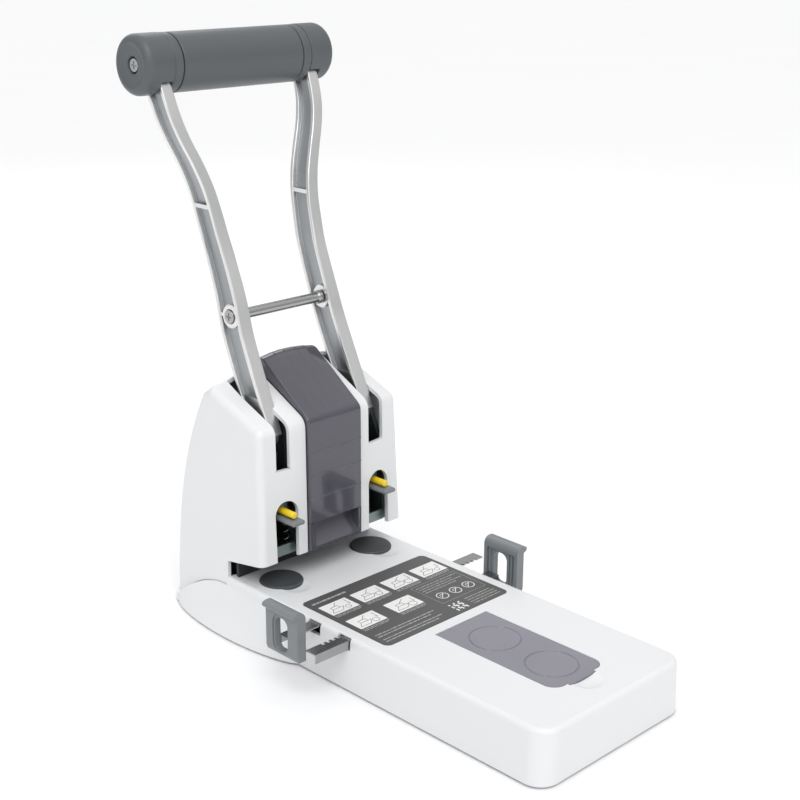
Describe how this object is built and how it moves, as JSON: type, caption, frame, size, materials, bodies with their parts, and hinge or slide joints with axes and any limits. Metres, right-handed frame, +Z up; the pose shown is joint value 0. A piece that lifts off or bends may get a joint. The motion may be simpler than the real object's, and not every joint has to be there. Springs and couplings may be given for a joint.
{
  "type": "hole punch",
  "caption": "Heavy-duty lever hole punch: long press lever, rack-driven hollow cutters over turnable discs, smoky chip cover, sliding paper guides and a spare-disc compartment.",
  "frame": {"origin": "on the table plane, under the middle of the tower's front face, at the centre of the middle foot's underside", "axes": "+X to the right of someone facing the punch's front, +Y from the paper side towards the rear of the tower, +Z up"},
  "size_m": [0.1808, 0.3528, 0.3775],
  "materials": {
    "housing_white": "smooth moulded white shell, soft gloss",
    "grip_grey": "slate grey grip, fine moulded texture",
    "guide_grey": "mid grey moulded guides and tabs",
    "disc_dark": "dark grey cutting discs",
    "smoke": "smoky purple-grey see-through plastic",
    "arm_silver": "satin silver die-cast arms",
    "steel": "zinc plated steel",
    "frame_steel": "dark passivated steel plate",
    "tool_steel": "hardened tool steel",
    "pin_yellow": "yellow plastic pins",
    "rubber": "black rubber feet",
    "label_grey": null,
    "dark_plastic": "black moulded inner parts"
  },
  "bodies": {
    "base": {"back_stop": "dark_plastic", "base_housing": "housing_white", "base_plate": "dark_plastic", "chip_bin": "smoke", "chip_cover_pin": "steel", "detent_spring": "steel", "die_plate": "frame_steel", "disc_compartment": "dark_plastic", "foot_centre": "rubber", "foot_front_left": "rubber", "foot_front_right": "rubber", "foot_rear_left": "rubber", "foot_rear_right": "rubber", "frame_plate_left_inner": "frame_steel", "frame_plate_left_outer": "frame_steel", "frame_plate_right_inner": "frame_steel", "frame_plate_right_outer": "frame_steel", "guide_plate_left": "frame_steel", "guide_plate_right": "frame_steel", "label_plate": "label_grey", "pivot_pin_left": "steel", "pivot_pin_right": "steel", "rail_carrier": "dark_plastic", "return_spring_left": "steel", "return_spring_right": "steel", "spare_disc_front": "disc_dark", "spare_disc_rear": "disc_dark", "tower_cheek_left": "housing_white", "tower_cheek_right": "housing_white", "tower_rear_cover": "housing_white"},
    "lever": {"lever_arm_left": "arm_silver", "lever_arm_right": "arm_silver", "crossbar": "steel", "crossbar_screw_left": "steel", "crossbar_screw_right": "steel", "grip_tube": "grip_grey", "grip_cap_left": "grip_grey", "grip_cap_right": "grip_grey", "grip_rod": "steel", "grip_screw_left": "steel", "grip_screw_right": "steel", "drive_gear_left": "frame_steel", "drive_gear_right": "frame_steel"},
    "cutting_disc_left": {"cutting_disc_left": "disc_dark"},
    "cutting_disc_right": {"cutting_disc_right": "disc_dark"},
    "spare_lid": {"spare_lid": "smoke"},
    "chip_cover": {"chip_cover": "smoke"},
    "ram_left": {"ram_left": "frame_steel", "cutter_left": "tool_steel", "latch_tab_left": "guide_grey"},
    "release_pin_left": {"release_pin_left": "pin_yellow"},
    "guide_left": {"guide_rail_left": "steel", "guide_fence_left": "guide_grey"},
    "ram_right": {"ram_right": "frame_steel", "cutter_right": "tool_steel", "latch_tab_right": "guide_grey"},
    "release_pin_right": {"release_pin_right": "pin_yellow"},
    "guide_right": {"guide_rail_right": "steel", "guide_fence_right": "guide_grey"}
  },
  "joints": [
    {"name": "lever_pivot", "type": "hinge", "parent": "base", "child": "lever", "pos_m": [0, 0.03, 0.124], "axis": [1, 0, 0], "range_deg": [0, 65], "stiffness_Nm_per_rad": 0.6, "springref_deg": -20.05},
    {"name": "ram_left_slide", "type": "slide", "parent": "base", "child": "ram_left", "axis": [0, 0, -1], "range_m": [0, 0.01702], "deforming": ["return_spring_left"]},
    {"name": "release_pin_left_slide", "type": "slide", "parent": "ram_left", "child": "release_pin_left", "axis": [0, -1, 0], "range_m": [0, 0.008]},
    {"name": "cutting_disc_left_turn", "type": "hinge", "parent": "base", "child": "cutting_disc_left", "pos_m": [-0.0397, 0.005, 0.0366], "axis": [0, 0, 1], "continuous": true},
    {"name": "ram_right_slide", "type": "slide", "parent": "base", "child": "ram_right", "axis": [0, 0, -1], "range_m": [0, 0.01702], "deforming": ["return_spring_right"]},
    {"name": "release_pin_right_slide", "type": "slide", "parent": "ram_right", "child": "release_pin_right", "axis": [0, -1, 0], "range_m": [0, 0.008]},
    {"name": "cutting_disc_right_turn", "type": "hinge", "parent": "base", "child": "cutting_disc_right", "pos_m": [0.0397, 0.005, 0.0366], "axis": [0, 0, 1], "continuous": true},
    {"name": "spare_lid_hinge", "type": "hinge", "parent": "base", "child": "spare_lid", "pos_m": [0, -0.119, 0.0346], "axis": [-1, 0, 0], "range_deg": [0, 105]},
    {"name": "chip_cover_hinge", "type": "hinge", "parent": "base", "child": "chip_cover", "pos_m": [0, 0.045, 0.168], "axis": [-1, 0, 0], "range_deg": [0, 80]},
    {"name": "guide_left_slide", "type": "slide", "parent": "base", "child": "guide_left", "axis": [-1, 0, 0], "range_m": [-0.02, 0.06]},
    {"name": "guide_right_slide", "type": "slide", "parent": "base", "child": "guide_right", "axis": [1, 0, 0], "range_m": [-0.004, 0.075]}
  ],
  "couplings": [
    {"joint": "ram_left_slide", "follows": "lever_pivot", "m_per_rad": 0.015},
    {"joint": "ram_right_slide", "follows": "lever_pivot", "m_per_rad": 0.015}
  ]
}
